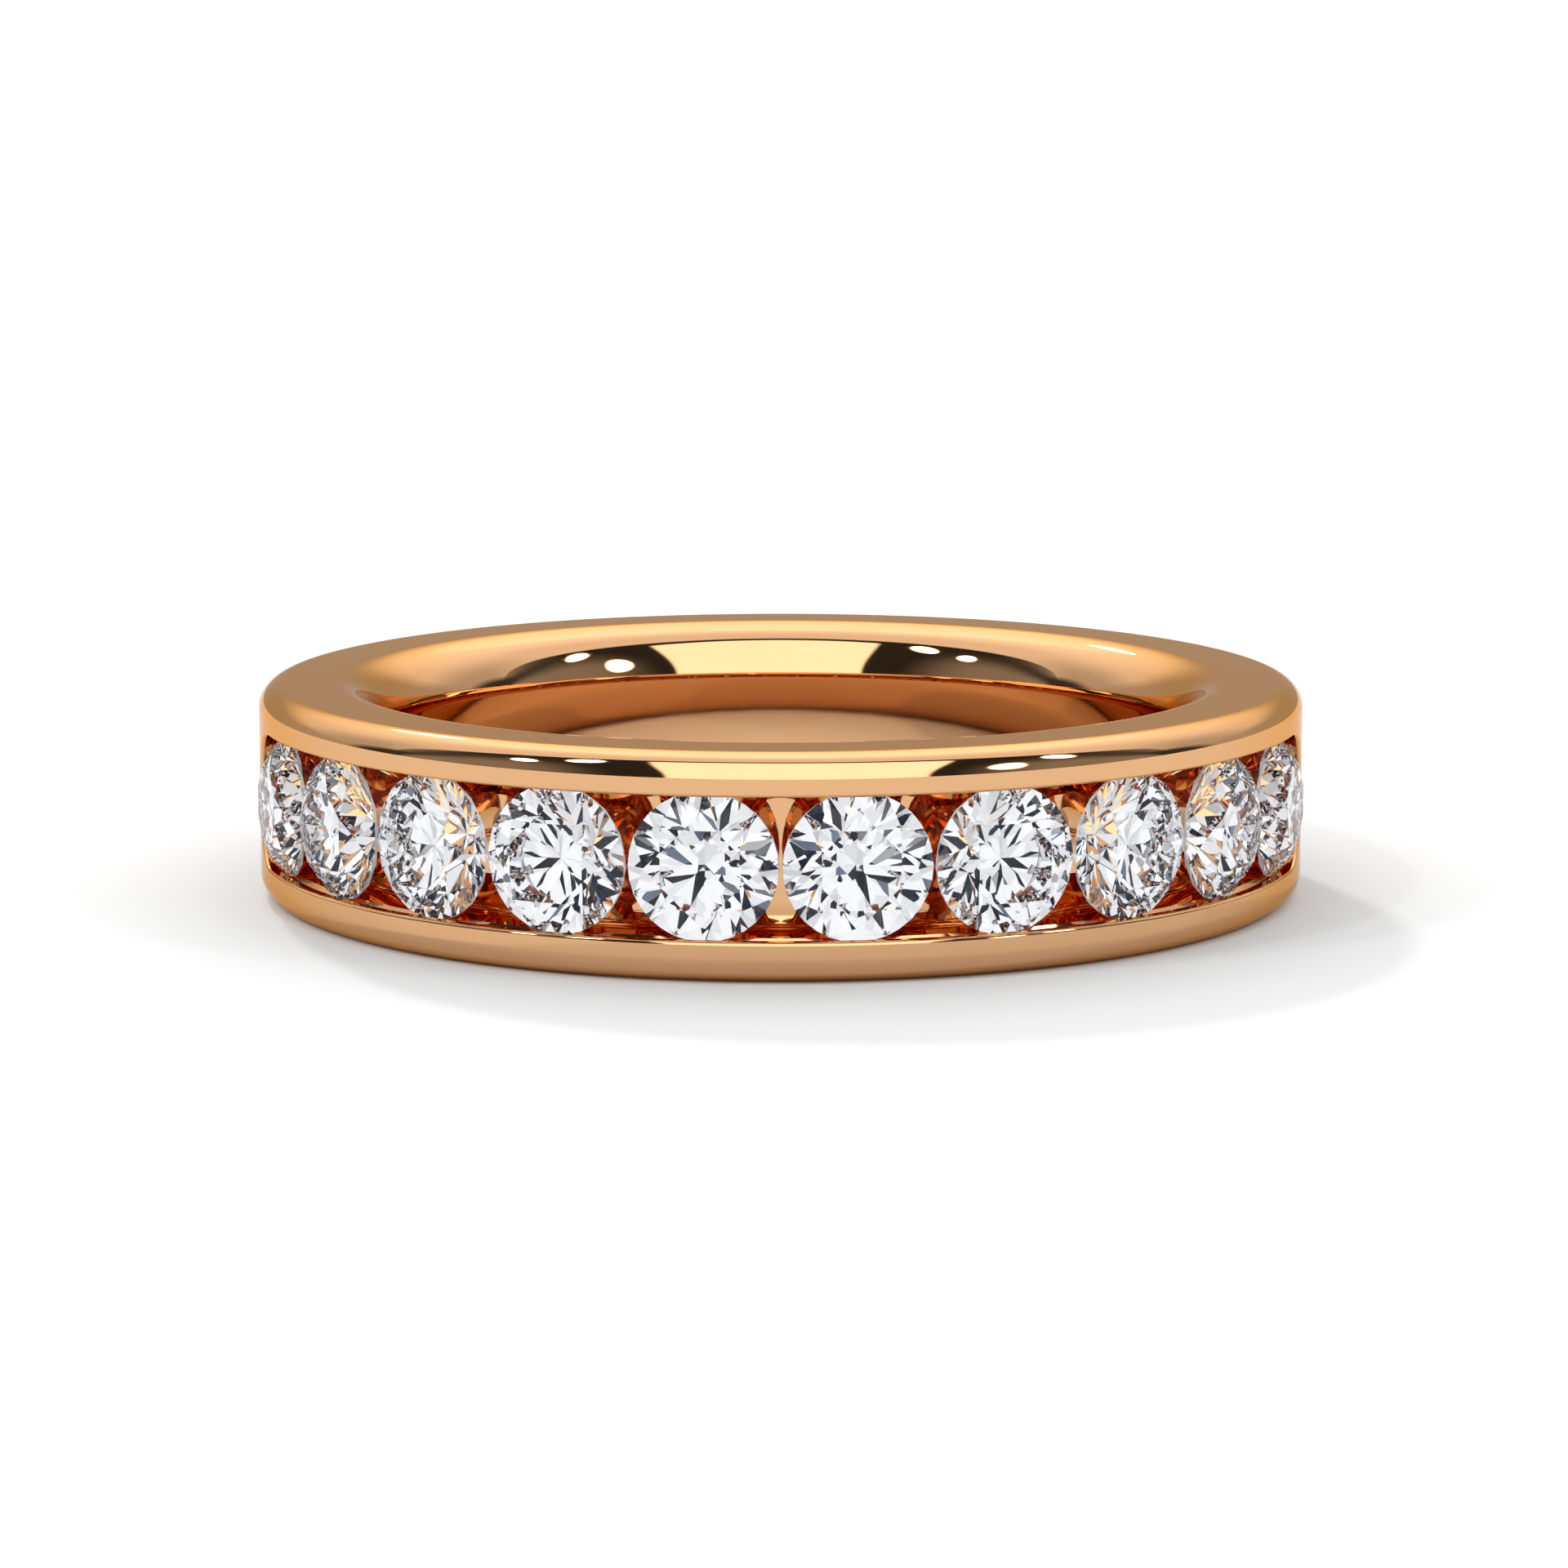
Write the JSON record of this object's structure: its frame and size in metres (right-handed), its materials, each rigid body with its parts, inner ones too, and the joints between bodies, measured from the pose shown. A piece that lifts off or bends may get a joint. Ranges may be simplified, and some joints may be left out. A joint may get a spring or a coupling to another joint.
{
  "type": "wedding band",
  "caption": "Half-eternity wedding band: a polished rose gold comfort-fit ring whose front half holds a row of round brilliant stones in a channel between two rails.",
  "frame": {"origin": "centre of the finger bore, midway between the two side faces", "axes": "+Z along the bore, so the ring lies on a side face; -Y towards the middle of the row of stones; +X to the right of someone who looks at the stones"},
  "size_m": [0.0222, 0.0224, 0.0046],
  "materials": {
    "rose_gold": "14 karat rose gold, mirror polish inside and out",
    "diamond": "colourless, polished flat facets"
  },
  "bodies": {
    "root": {"band": "rose_gold", "stone_01": "diamond", "stone_02": "diamond", "stone_03": "diamond", "stone_04": "diamond", "stone_05": "diamond", "stone_06": "diamond", "stone_07": "diamond", "stone_08": "diamond", "stone_09": "diamond", "stone_10": "diamond"}
  },
  "joints": []
}
